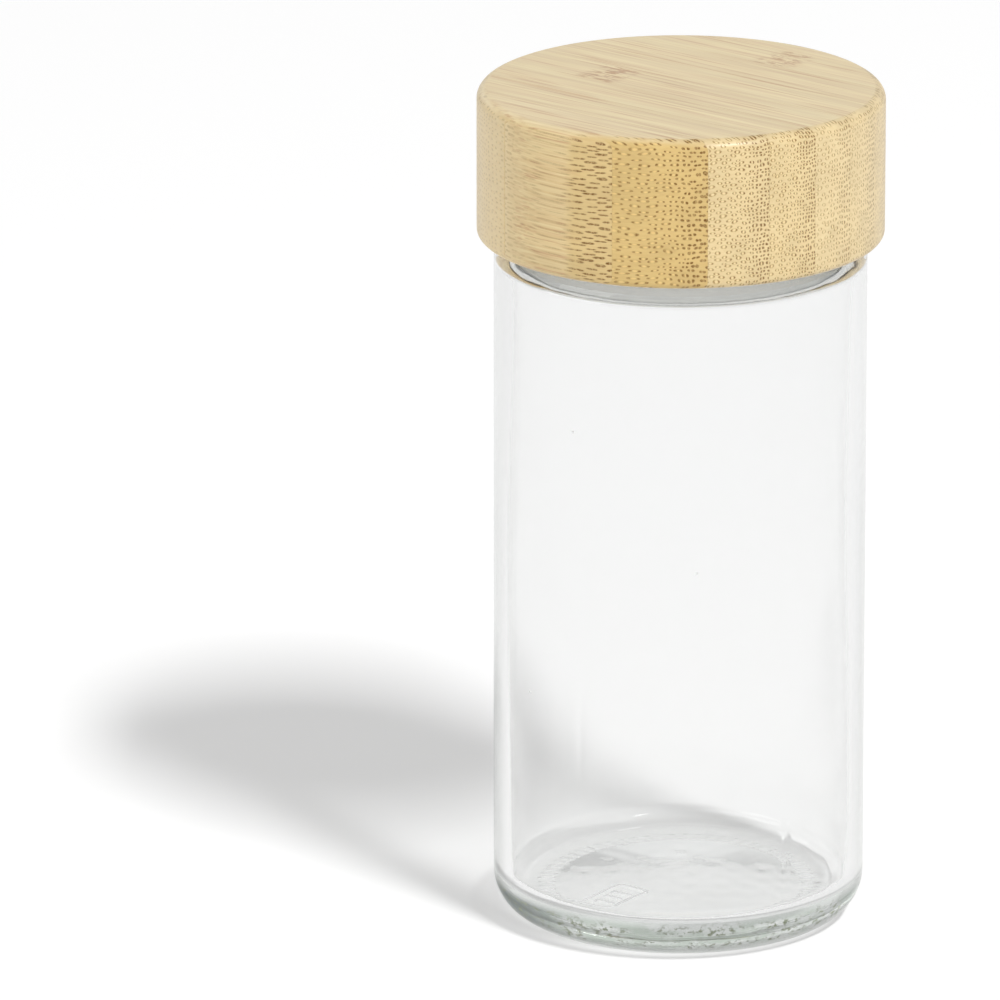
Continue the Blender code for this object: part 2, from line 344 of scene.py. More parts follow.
def bundle_group():
    """Fibre bundles that run along X, in staggered rows: masks of their dark caps, rims and pale cores.

    Point is the place in millimetres: along the grain, in from the dense side, and up. Crowding is how many
    bundles a millimetre holds at the dense side, Thinning how quickly that falls, and Rows the height of
    two rows. Gap is how far a bundle's caps lie from its middle at the dense side, as a share of its size.
    """
    inputs = {
        "Point": ("Vector", None),
        "Crowding": ("Float", 1.0),
        "Thinning": ("Float", 0.0),
        "Rows": ("Float", 1.40),
        "Gap": ("Float", 0.15),
    }
    wires, entry, leave = new_group("Fibre Bundles", inputs, ("Cap", "Rim", "Core"))
    point, crowding, thinning, rows, gap = (entry[label] for label in inputs)
    x, across, up = wires.split(point)
    drift = wires.noise(wires.stretched(point, 0.08, 0.45, 0.45), 1.0, 1.0, output="Color")
    drift_y, drift_z, _ = wires.split(drift)
    across = wires.line(drift_y, 0.6, across)
    up = wires.plus(drift_z, up)
    lost = wires.times(across, thinning)
    column = wires.times(across, wires.minus(crowding, lost))
    held = wires.minus(crowding, wires.times(lost, 2.0))
    spacing = wires.over(1.0, held)
    row = wires.over(up, rows)
    cells = wires.join(wires.plus(column, row), wires.minus(column, row), 0.0)
    made = wires.add("ShaderNodeTexVoronoi", voronoi_dimensions="2D")
    found = wires.fill(made, Vector=cells, Scale=1.0, Randomness=0.30)
    off_a, off_b, _ = wires.split(wires.vector("SUBTRACT", cells, found["Position"]))
    chance, other, third = wires.split(found["Color"])
    # Where bundles lie closer together each one is smaller
    room = wires.maths("SQRT", wires.times(spacing, rows, 0.5))
    size = wires.times(wires.line(chance, 0.35, 0.82), room)
    half_y = wires.over(wires.times(spacing, 0.5), size)
    half_z = wires.over(wires.times(rows, 0.5), size)
    off_y = wires.maths("ABSOLUTE", wires.times(wires.plus(off_a, off_b), half_y))
    off_z = wires.maths("ABSOLUTE", wires.times(wires.minus(off_a, off_b), half_z))

    def oval(y, z, width, height):
        """The square of how far a place lies from an oval's middle, where 1 is its edge."""
        return wires.plus(wires.squared(wires.over(y, width)), wires.squared(wires.over(z, height)))

    # Towards the dense side the caps are larger for their bundle
    apart = wires.ease(across, 0.0, 4.0, gap, 0.30)
    from_cap = wires.maths("ABSOLUTE", wires.minus(off_y, apart))
    width = wires.ease(across, 0.0, 4.0, 0.20, 0.11)
    height = wires.ease(across, 0.0, 4.0, 0.22, 0.14)
    cap = wires.ease(oval(from_cap, off_z, width, height), 1.8, 0.4)
    strength = wires.line(other, 0.3, 0.7)
    reach = wires.maths("SQRT", oval(off_y, off_z, 0.29, 0.23))
    rim = wires.ease(wires.maths("ABSOLUTE", wires.minus(reach, 1.0)), 0.50, 0.10)
    rim = wires.times(rim, wires.ease(off_y, 0.04, 0.20, 0.30, 1.0))
    broken = wires.ease(wires.noise(wires.join(x, across, up), 6.0, 0.0), 0.35, 0.60, 0.60, 1.0)
    uneven = wires.times(wires.line(third, 0.4, 0.6), broken)
    core = wires.ease(oval(off_y, off_z, 0.14, 0.14), 1.6, 0.3)
    wires.fill(leave, Cap=wires.times(cap, strength, broken), Rim=wires.times(rim, uneven), Core=core)


def streak_group():
    """Lines along X: a mask of coloured streaks, and a fine grey grain."""
    inputs = {"Point": ("Vector", None), "Seed": ("Float", 0.0)}
    wires, entry, leave = new_group("Grain Streaks", inputs, ("Streak", "Grain"))
    moved = wires.join(wires.times(entry["Seed"], 37.0), 0.0, 0.0)
    point = wires.vector("ADD", entry["Point"], moved)
    wide = wires.stretched(point, 0.05, 2.3, 3.6)
    fine = wires.stretched(point, 0.05, 1.5, 4.5)
    streak = wires.ease(wires.noise(wide, 1.0, 2.5, 0.6), 0.54, 0.70)
    grain = wires.ease(wires.noise(fine, 1.0, 2.0, 0.6), 0.25, 0.75)
    wires.fill(leave, Streak=streak, Grain=grain)


def new_material(name):
    made = bpy.data.materials.new(name)
    made.use_nodes = True
    made.node_tree.nodes.clear()
    wires = Wires(made.node_tree)
    shader = wires.add("ShaderNodeBsdfPrincipled")
    output = wires.add("ShaderNodeOutputMaterial")
    wires.fill(output, Surface=shader.outputs[0])
    return made, wires, shader, output


def bamboo_material(name, settings, look, dense_side):
    """One strip's bamboo. dense_side is the Y of the side where its bundles lie closest together."""
    made, wires, shader, _ = new_material(name)
    coordinates = wires.add("ShaderNodeTexCoord").outputs
    x, y, z = wires.split(wires.stretched(coordinates["Object"], PER_MM, PER_MM, PER_MM))
    across = wires.minus(dense_side * PER_MM, y)
    # Each dense side has a pattern of its own
    place = wires.join(x, across, wires.plus(z, look.dense * 11.0))
    facing, _, upright = wires.split(coordinates["Normal"])
    ends = (wires.ease(facing, 0.04, 0.17), wires.ease(facing, -0.15, -0.34))
    cut_across = wires.maths("ADD", *ends, clamp=True)
    bundles = wires.group(
        "Fibre Bundles",
        Point=place, Crowding=look.crowding, Thinning=look.thinning, Rows=look.rows, Gap=look.gap,
    )
    streaks = wires.group("Grain Streaks", Point=place, Seed=look.dense)

    def by_cut(along_grain, across_grain):
        """One value where bamboo is seen along its grain, and another where it is cut across."""
        return wires.ease(cut_across, 0.0, 1.0, along_grain, across_grain)

    def on_top(side, top):
        """One value on the lid's side, and another on its top."""
        return wires.ease(upright, 0.5, 0.95, side, top)

    base = [p + (g - p) * look.tone for p, g in zip(settings.pale, settings.golden)]
    cloud = wires.noise(wires.join(wires.times(x, 0.02), across, z), 0.25, 1.0)
    body = wires.blend(wires.ease(cloud, 0.35, 0.7), rgba(base), rgba(base, 0.90))
    # The lid's far end, seen edge on, is painted as pale as its top, a painted sheen, and along the top
    # every strip is much the same colour
    lengthwise_and_sheen = wires.plus(by_cut(0.25, 0.0), wires.ease(facing, -0.15, -0.40, 0.0, 0.55))
    lengthwise_and_sheen = wires.plus(lengthwise_and_sheen, on_top(0.0, 0.5 * look.tone))
    body = wires.blend(lengthwise_and_sheen, body, rgba(settings.lengthwise_and_sheen))
    body = wires.blend(wires.times(streaks["Streak"], by_cut(0.85, 0.15)), body, rgba(settings.streak))
    # Bundles show least where they lie along the top, and at the lid's far end a painted sheen hides most
    # of them
    least = wires.maths("MAXIMUM", cut_across, on_top(0.40, 0.08))
    grain_and_sheen_fade = wires.times(least, wires.ease(x, -8.0, 3.0, 0.35, 1.0))
    body = wires.blend(wires.times(bundles["Core"], 0.8, grain_and_sheen_fade), body, rgba(base, look.core))
    body = wires.blend(wires.times(bundles["Rim"], look.rims, grain_and_sheen_fade), body, rgba(settings.rim))
    closer = wires.ease(across, look.reach, 0.3, 0.25, 1.0)
    dark = wires.times(bundles["Cap"], look.caps, grain_and_sheen_fade, closer)
    body = wires.blend(dark, body, rgba(settings.fibre))
    if look.node is not None:
        # A node's mark fades out 3.4 mm to either side
        along = wires.over(wires.minus(x, look.node), 3.4)
        band = wires.ease(wires.squared(wires.maths("ABSOLUTE", along)), 1.0, 0.0)
        drawn = wires.join(wires.times(x, 0.5), wires.times(across, 2.0), z)
        patchy = wires.ease(wires.noise(drawn, 0.9, 3.0, 0.6), 0.47, 0.60)
        body = wires.blend(wires.times(band, patchy), body, rgba(settings.streak, 0.9))
    grain = wires.plus(wires.times(streaks["Grain"], by_cut(0.26, 0.10)), by_cut(0.87, 0.95))
    # Darker grain is warmer too
    red, blue = wires.line(grain, 0.6, 0.4), wires.line(grain, 1.3, -0.3)
    warm = wires.add("ShaderNodeCombineColor", red, grain, blue).outputs[0]
    body = wires.blend(1.0, body, warm, "MULTIPLY")
    rough = wires.ease(streaks["Grain"], 0.2, 0.8, settings.roughness - 0.05, settings.roughness + 0.08)
    height = wires.minus(wires.times(streaks["Grain"], 0.4), dark)
    wires.fill(
        shader,
        Base_Color=body, Roughness=rough, Specular_IOR_Level=0.2, Coat_Weight=settings.coat,
        Coat_Roughness=0.32, Normal=wires.bump(height, 0.12, 0.05 * MM),
    )
    return made


def glass_material(settings):
    """Clear container glass. Lamps shine through it, less so where they meet it edge on."""
    made, wires, shader, output = new_material("clear_glass")
    point = wires.add("ShaderNodeTexCoord").outputs["Object"]
    point = wires.stretched(point, PER_MM, PER_MM, PER_MM)
    x, y, z = wires.split(point)
    from_axis = wires.maths("SQRT", wires.plus(wires.squared(x), wires.squared(y)))
    # Only light that enters is tinted, so that the far side of the heel looks clear through the jar
    entering = wires.minus(1.0, wires.add("ShaderNodeNewGeometry").outputs["Backfacing"])
    # The thick heel is cloudy, with darker flecks
    cloud = wires.noise(wires.stretched(point, 1.0, 1.0, 2.5), 0.22, 3.0, 0.6)
    fleck = wires.noise(wires.stretched(point, 1.0, 1.0, 1.4), 1.3, 3.0, 0.7)
    flecks = wires.times(wires.ease(fleck, 0.50, 0.60), wires.ease(cloud, 0.40, 0.54))
    in_heel = wires.times(wires.ease(z, 5.4, 4.2), wires.ease(from_axis, 20.1, 20.9), entering)
    # Painted shade: the heel's colour is darkest towards one side, at the camera's left, and half as dark
    # at the opposite side, standing in for the darker ends of the heel as it is seen
    x_share, y_share = math.cos(settings.painted_shade_turn), math.sin(settings.painted_shade_turn)
    aside = wires.line(x, x_share, wires.times(y, y_share))
    across = wires.ease(aside, 12.0, 21.0, 0.0, 0.5)
    painted_end_shade = wires.maths("MAXIMUM", wires.ease(aside, -9.0, -19.0), across)
    heel = wires.blend(wires.ease(cloud, 0.38, 0.60), rgba(settings.cloud), rgba(settings.clear))
    heel = wires.blend(painted_end_shade, heel, rgba(settings.painted_end_shade))
    heel = wires.blend(flecks, heel, rgba(settings.fleck))
    # Painted shade: the wall's colour is darker where it is seen edge on, most of all low down, standing in
    # for the shadow and dark surroundings seen in the wall
    facing = wires.fill(wires.add("ShaderNodeLayerWeight"), Blend=0.5)["Facing"]
    painted_edge_shade = wires.times(wires.ease(facing, 0.64, 0.84), entering, wires.ease(z, 66.0, 46.0, 0.3, 1.0))
    wall = wires.blend(painted_edge_shade, rgba(settings.clear), rgba(settings.edge))
    body = wires.blend(in_heel, wall, heel)
    wires.fill(shader, Base_Color=body, Metallic=0.0, Roughness=0.0, IOR=1.52, Transmission_Weight=1.0)
    # Low down the heel holds back more light than the wall, and the base less
    change = wires.times(wires.ease(z, 6.5, 4.5), wires.ease(from_axis, 18.5, 20.6, 0.10, -0.45))
    shade = wires.times(wires.ease(facing, 0.45, 0.9, 0.925, 0.35), wires.plus(1.0, change))
    lets = wires.add("ShaderNodeBsdfTransparent", wires.grey(shade)).outputs[0]
    rays = wires.add("ShaderNodeLightPath").outputs
    surface = shader.outputs[0]
    clear = wires.add("ShaderNodeBsdfTransparent", WHITE).outputs[0]
    for kind, instead in (("Reflection", clear), ("Diffuse", clear), ("Shadow", lets)):
        surface = wires.add("ShaderNodeMixShader", rays[f"Is {kind} Ray"], surface, instead).outputs[0]
    volume = wires.add("ShaderNodeVolumeAbsorption")
    absorbed = wires.fill(volume, Color=rgba(settings.tint), Density=settings.tint_strength)[0]
    wires.fill(output, Surface=surface, Volume=absorbed)
    return made


def moulded_material(name, colour_values, roughness, speckle):
    """Plain moulded or foamed material with a faint grain."""
    made, wires, shader, _ = new_material(name)
    grain = wires.noise(wires.add("ShaderNodeTexCoord").outputs["Object"], speckle, 3.0)
    body = wires.blend(grain, rgba(colour_values), rgba(colour_values, 0.94))
    rough = wires.ease(grain, 0.3, 0.7, roughness - 0.05, roughness + 0.05)
    wires.fill(shader, Base_Color=body, Roughness=rough, Normal=wires.bump(grain, 0.15, 0.1 * MM))
    return made


def arc(centre, radius, start, end, steps):
    """Points (r, z) on an arc between two angles in degrees, both ends included."""
    angles = np.radians(np.linspace(start, end, steps + 1))
    return [(centre[0] + radius * math.cos(a), centre[1] + radius * math.sin(a)) for a in angles]


def dome(edge_radius, edge_height, rise, steps):
    """Points (r, z) of a shallow dome, from its middle on the axis out to its edge."""
    sphere = (edge_radius**2 + rise**2) / (2 * rise)
    radii = np.linspace(0.0, edge_radius, steps + 1)
    return [(r, edge_height + rise - sphere + math.sqrt(sphere**2 - r**2)) for r in radii]


def filled(points, longest):
    """The same outline with points added, so that no stretch is longer than longest."""
    result = [points[0]]
    for start, end in zip(points, points[1:]):
        steps = max(1, math.ceil(math.dist(start, end) / longest - 1e-6))
        for step in range(1, steps + 1):
            result.append(tuple(a + (b - a) * step / steps for a, b in zip(start, end)))
    return result


@contextlib.contextmanager
def edited(mesh):
    """A mesh as a bmesh, which is written back at the end."""
    shape = bmesh.new()
    shape.from_mesh(mesh)
    yield shape
    shape.to_mesh(mesh)
    shape.free()


def turned(name, outline, columns, shaped=None):
    """A closed mesh turned about Z from an outline that starts and ends on the axis.

    shaped takes arrays of radius, height and angle and gives the radius and height to use instead.
    """
    rows = len(outline) - 2
    angles = np.arange(columns) / columns * math.tau
    radius = np.repeat([[r] for r, _ in outline[1:-1]], columns, axis=1)
    height = np.repeat([[z] for _, z in outline[1:-1]], columns, axis=1)
    if shaped:
        radius, height = shaped(radius, height, np.broadcast_to(angles, radius.shape))
    points = np.stack([radius * np.cos(angles), radius * np.sin(angles), height], axis=-1).reshape(-1, 3)
    first, last = len(points), len(points) + 1
    points = np.vstack([points, [0.0, 0.0, outline[0][1]], [0.0, 0.0, outline[-1][1]]])
    faces = []
    for column in range(columns):
        after = (column + 1) % columns
        faces.append((first, column, after))
        for row in range(rows - 1):
            low, high = row * columns, (row + 1) * columns
            faces.append((low + column, high + column, high + after, low + after))
        end = (rows - 1) * columns
        faces.append((last, end + after, end + column))
    mesh = bpy.data.meshes.new(name)
    mesh.from_pydata(points.tolist(), [], faces)
    with edited(mesh) as shape:
        bmesh.ops.recalc_face_normals(shape, faces=shape.faces)
    mesh.shade_smooth()
    return mesh


def new_object(name, data):
    made = bpy.data.objects.new(name, data)
    bpy.context.scene.collection.objects.link(made)
    return made


def add_piece(name, mesh, finish, body, node):
    """Adds a piece that stands for a CAD node and moves with its body."""
    piece = new_object(name, mesh)
    piece.data.materials.append(finish)
    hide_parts(node)
    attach(piece, body)
    return piece


def rising(value, low, high):
    """From 0 below low to 1 above high, smoothly."""
    done = np.clip((value - low) / (high - low), 0.0, 1.0)
    return done * done * (3.0 - 2.0 * done)


def falling(value, low, high):
    return 1.0 - rising(value, low, high)


def thread_height(thread, angle, height, end_height, turns):
    """How far a thread stands out, from 0 to 1, at arrays of angle and height.

    The thread is a right-handed helix that ends at end_height, at angle 0, and tapers off at both ends.
    """
    total = 0.0
    whole = turns * math.tau
    for turn in range(-1, math.ceil(turns) + 1):
        travelled = turn * math.tau - angle
        middle = end_height - thread.pitch * travelled / math.tau
        ridge = falling(np.abs(height - middle), thread.crest / 2, thread.root / 2)
        fade = rising(travelled, 0.0, TAPER) * falling(travelled, whole - TAPER, whole)
        total = np.maximum(total, ridge * fade)
    return total


def ripple(angle, height):
    """Slow unevenness of moulded glass, from about -1 to 1."""
    return (
        0.45 * np.sin(2 * angle + 0.6 + height * 31.0)
        + 0.30 * np.sin(3 * angle - 1.1 - height * 67.0)
        + 0.25 * np.sin(5 * angle + 2.3 + height * 103.0)
    )


def wrinkles(radius, height, angle, size, seed):
    """Random unevenness from about -1 to 1 over a turned surface. size is from one bump to the next."""
    chance = np.random.default_rng(seed)
    place = np.stack([radius * np.cos(angle), radius * np.sin(angle), height], axis=-1)
    total = np.zeros(place.shape[:-1])
    waves = 14
    for _ in range(waves):
        towards = chance.normal(size=3)
        towards *= math.tau / size * chance.uniform(0.6, 1.4) / np.linalg.norm(towards)
        total += np.sin(place @ towards + chance.uniform(0.0, math.tau))
    return total / math.sqrt(waves / 2) / 2


def plain_mark(x, y):
    """How deep a plain moulded mark is, from 0 to 1: a rounded frame with three bars. In millimetres."""
    half_width, half_length, corner, bar_place = 2.3, 4.1, 0.8, 1.5
    across, along = np.abs(x), np.abs(y)
    past_side = np.maximum(across - (half_width - corner), 0.0)
    past_end = np.maximum(along - (half_length - corner), 0.0)
    outline = falling(np.abs(np.hypot(past_side, past_end) - corner + 0.25), 0.10, 0.35)
    bars = np.maximum(falling(np.abs(along - bar_place), 0.10, 0.40), falling(along, 0.10, 0.40))
    return np.maximum(outline, bars * falling(across, 1.0, 1.3))


def neck_radius(glass):
    return JAR_HIGH.x - glass.shoulder_radius - glass.shoulder_land - glass.neck_root_radius


class SPICEJAR_OT_glass(bpy.types.Operator):
    """Build the moulded glass jar, with its neck thread, mould seam, push-up, mark and bearing ridges"""

    bl_idname = "spicejar.glass"
    bl_label = "Glass jar"

    columns_per_ridge = 5
    # The heights over which wrinkles fade out above the base, and how far below the land round the neck
    # the seam and the wrinkles grow
    low_band = (4 * MM, 12 * MM)
    high_band = (3.4 * MM, 1.6 * MM)
    # Where the middle of the mark under the base lies, and each seed's angle in degrees, height and
    # radius, in mm
    mark_place = (-1.4, -10.2)
    seeds = ((-86.7, 64.2, 0.16), (-45.4, 48.1, 0.14), (-105.5, 30.7, 0.15))

    def outside(self, glass):
        """From the middle of the underside, up the outside, to the middle of the rim."""
        body, rim, neck = JAR_HIGH.x, JAR_HIGH.z, neck_radius(glass)
        heel = (body - glass.heel_radius, glass.heel_radius)
        shoulder = (body - glass.shoulder_radius, glass.shoulder_height - glass.shoulder_radius)
        root = (neck + glass.neck_root_radius, glass.shoulder_height + glass.neck_root_radius)
        lip = (neck - glass.rim_radius, rim - glass.rim_radius)
        points = filled(dome(heel[0] - glass.bearing_width, 0.0, glass.push_up, 12), 0.21 * MM)
        points += filled([points[-1], (heel[0], 0.0)], 0.25 * MM)[1:]
        points += arc(heel, glass.heel_radius, -90, 0, 20)[1:]
        points += filled([points[-1], (body, shoulder[1])], 3.0 * MM)[1:]
        points += arc(shoulder, glass.shoulder_radius, 0, 90, 16)[1:]
        points += arc(root, glass.neck_root_radius, 270, 180, 6)
        points += filled([points[-1], (neck, lip[1])], 0.26 * MM)[1:]
        points += arc(lip, glass.rim_radius, 0, 90, 7)[1:]
        return points

    def inside(self, glass):
        """From the middle of the rim, down the inside, to the middle of the inside floor."""
        wall = JAR_HIGH.x - glass.wall
        bore = neck_radius(glass) - glass.neck_wall
        ceiling = glass.shoulder_height - glass.shoulder_wall
        lip = (bore + glass.rim_radius, JAR_HIGH.z - glass.rim_radius)
        throat = (bore + glass.throat_radius, ceiling + glass.throat_drop + glass.throat_radius)
        shoulder = (wall - glass.inner_shoulder_radius, ceiling - glass.inner_shoulder_radius)
        heel = (wall - glass.inner_heel_radius, glass.floor_height + glass.inner_heel_radius)
        points = arc(lip, glass.rim_radius, 90, 180, 7)
        points += filled([points[-1], (bore, throat[1])], 1.5 * MM)[1:]
        points += arc(throat, glass.throat_radius, 180, 270, 8)[1:]
        points += arc(shoulder, glass.inner_shoulder_radius, 90, 0, 10)
        points += filled([points[-1], (wall, heel[1])], 3.0 * MM)[1:]
        points += arc(heel, glass.inner_heel_radius, 0, -90, 18)[1:]
        points += filled(dome(heel[0], glass.floor_height, glass.floor_rise, 12)[::-1], 0.7 * MM)[1:]
        return points

    def add_seeds(self, mesh, radius):
        """Small bubbles in the wall, as spheres whose faces look inwards."""
        with edited(mesh) as shape:
            for angle, height, size in self.seeds:
                turn = math.radians(angle)
                place = Matrix.Translation((radius * math.cos(turn), radius * math.sin(turn), height * MM))
                bubble = bmesh.ops.create_icosphere(shape, subdivisions=2, radius=size * MM, matrix=place)
                faces = {face for point in bubble["verts"] for face in point.link_faces}
                bmesh.ops.reverse_faces(shape, faces=list(faces))
            for face in shape.faces:
                face.smooth = True

    def execute(self, context):
        glass = context.scene.spicejar_glass
        thread = context.scene.spicejar_thread
        outside, inside = self.outside(glass), self.inside(glass)
        body, neck, land = JAR_HIGH.x, neck_radius(glass), glass.shoulder_height
        ring_outer = body - glass.heel_radius
        ring_inner = ring_outer - glass.bearing_width
        thread_end = JAR_HIGH.z - thread.below_rim

        def shaped(radius, height, angle):
            outer = np.arange(len(radius))[:, None] < len(outside) - 1
            low_down = falling(height, *self.low_band)
            up_high = rising(height, land - self.high_band[0], land - self.high_band[1])

            def rough(seed):
                """Wrinkles of the surface as it is so far."""
                return wrinkles(radius, height, angle, glass.wrinkle_size, seed)

            # The neck's thread
            side = outer & (height > land + glass.neck_root_radius / 2)
            side = side & (radius > neck - glass.rim_radius / 2)
            stands = thread_height(thread, angle, height, thread_end, thread.neck_turns)
            radius = radius + side * stands * thread.height
            # The mould seam
            off_seam = np.abs(np.sin(angle - glass.seam_turn)) * radius
            seam = glass.seam * np.exp(-((off_seam / glass.seam_width) ** 2)) * (1 + 1.5 * up_high)
            radius = radius + (outer & (height > glass.heel_radius / 2)) * seam
            # The uneven wall and floor inside
            wall_side = ~outer & (height > glass.floor_height + glass.inner_heel_radius / 2)
            in_body = rising(land - height, 0.5 * MM, 6 * MM)
            radius = radius + wall_side * ripple(angle, height) * glass.ripple * in_body
            inside_low = ~outer & (low_down > 0)
            uneven = rough(3) * glass.wrinkle * low_down
            bend = glass.inner_heel_radius
            level = rising(body - glass.wall - radius, 0.2 * bend, 0.9 * bend)
            height = height + inside_low * uneven * level
            radius = radius + inside_low * uneven * (1 - level)
            # The wrinkled heel and shoulder
            on_heel = outer & (height > 0.4 * MM) & (low_down > 0) & (radius > ring_outer)
            radius = radius + on_heel * 0.5 * (rough(8) - 1) * glass.wrinkle * low_down
            off_neck = rising(radius, neck + 0.4 * MM, neck + 1.6 * MM)
            radius = radius + (rough(21) - 1) * glass.wrinkle * up_high * off_neck * outer
            # The ridges of the bearing ring, and the mark
            on_ring = rising(radius, ring_inner - 0.5 * MM, ring_inner + 0.3 * MM)
            on_ring = on_ring * falling(radius, ring_outer - 0.7 * MM, ring_outer - 0.2 * MM)
            notch = 0.5 - 0.5 * np.cos(angle * glass.ridge_count)
            under = outer & (height < 1.2 * glass.push_up)
            height = height + under * on_ring * notch * glass.ridge
            x, y = radius * np.cos(angle) * PER_MM, radius * np.sin(angle) * PER_MM
            mark = plain_mark(x - self.mark_place[0], y - self.mark_place[1])
            height = height + (under & (radius < ring_inner)) * mark * glass.mark_depth
            return radius, height

        columns = self.columns_per_ridge * glass.ridge_count
        mesh = turned("jar_glass", outside + inside, columns, shaped)
        self.add_seeds(mesh, body - glass.wall / 2)
        add_piece("jar_glass", mesh, glass_material(glass), "jar", "glass_jar")
        return {"FINISHED"}


class SPICEJAR_OT_bamboo(bpy.types.Operator):
    """Build the strips of the turned bamboo lid"""

    bl_idname = "spicejar.bamboo"
    bl_label = "Bamboo lid"

    columns = 360
    # The rounding of the pocket's mouth, and the gap between the pocket and the insert
    lip = 0.4 * MM
    gap = 0.3 * MM
    strip_looks = (
        StripLook(0.65, 1.00, 0.10, 1.25, 1, 1.35, 0.0, 0.74, 0.13),
        StripLook(0.85, 1.00, 0.35, 1.15, 2, 1.20, 0.020, 1.12, 0.18, 14.0),
        StripLook(0.25, 0.95, 0.80, 1.08, 3, 1.30, 0.028, 0.92, 0.28),
        StripLook(0.25, 0.95, 0.80, 1.08, 4, 1.30, 0.028, 0.92, 0.28),
        StripLook(0.15, 0.60, 0.60, 1.06, 5, 1.15, 0.024, 1.20, 0.28, node=-9.9),
        StripLook(0.15, 0.60, 0.60, 1.06, 6, 1.15, 0.024, 1.20, 0.28),
        StripLook(0.15, 0.50, 0.60, 1.06, 7, 1.15, 0.024, 1.20, 0.28),
        StripLook(0.15, 0.50, 0.60, 1.06, 8, 1.15, 0.024, 1.20, 0.28, node=2.0),
        StripLook(0.15, 0.50, 0.60, 1.06, 9, 1.15, 0.024, 1.20, 0.28),
    )

    def outline(self, bamboo):
        """The lid as one turned disc, from the middle of its top to the middle of its pocket."""
        pocket = INSERT_HIGH.x + self.gap
        ceiling = LID_TOP - bamboo.top
        top_edge = (LID_RADIUS - bamboo.top_edge, LID_TOP - bamboo.top_edge)
        bottom_edge = (LID_RADIUS - bamboo.bottom_edge, LID_BOTTOM + bamboo.bottom_edge)
        points = filled([(0.0, LID_TOP), (top_edge[0], LID_TOP)], 3.0 * MM)
        points += arc(top_edge, bamboo.top_edge, 90, 0, 10)[1:]
        points += filled([points[-1], (LID_RADIUS, bottom_edge[1])], 2.0 * MM)[1:]
        points += arc(bottom_edge, bamboo.bottom_edge, 0, -90, 8)[1:]
        points += arc((pocket + self.lip, LID_BOTTOM + self.lip), self.lip, 270, 180, 4)
        points += [(pocket, ceiling), (0.0, ceiling)]
        return points

    def strip_mesh(self, name, blank, low, high):
        """The part of the blank between two values of Y."""
        mesh = blank.copy()
        mesh.name = name
        with edited(mesh) as shape:
            for value, direction in ((low, -1.0), (high, 1.0)):
                everything = shape.verts[:] + shape.edges[:] + shape.faces[:]
                place, away = (0.0, value, 0.0), (0.0, direction, 0.0)
                cut = bmesh.ops.bisect_plane(
                    shape, geom=everything, plane_co=place, plane_no=away, clear_outer=True
                )
                rim = [item for item in cut["geom_cut"] if isinstance(item, bmesh.types.BMEdge)]
                if rim:
                    bmesh.ops.triangle_fill(shape, edges=rim, use_beauty=True)
            bmesh.ops.remove_doubles(shape, verts=shape.verts, dist=1e-7)
            bmesh.ops.recalc_face_normals(shape, faces=shape.faces)
        mesh.shade_smooth()
        mesh.set_sharp_from_angle(angle=math.radians(40))
        return mesh

    def execute(self, context):
        bamboo = context.scene.spicejar_bamboo
        bundle_group()
        streak_group()
        blank = turned("lid_blank", self.outline(bamboo), self.columns)
        lows = [low.y for low, _ in STRIP_BOXES]
        highs = [high.y for _, high in STRIP_BOXES]
        seams = [(before + after) / 2 for before, after in zip(highs, lows[1:])]
        edges = [-1.0] + seams + [1.0]
        for number, (node, look) in enumerate(zip(STRIPS, self.strip_looks)):
            low = edges[number] + bamboo.glue_line / 2
            high = edges[number + 1] - bamboo.glue_line / 2
            mesh = self.strip_mesh(f"strip_{number + 1}", blank, low, high)
            finish = bamboo_material(f"bamboo_{number + 1}", bamboo, look, highs[look.dense - 1])
            add_piece(f"strip_{number + 1}", mesh, finish, "lid", node)
        bpy.data.meshes.remove(blank)
        return {"FINISHED"}


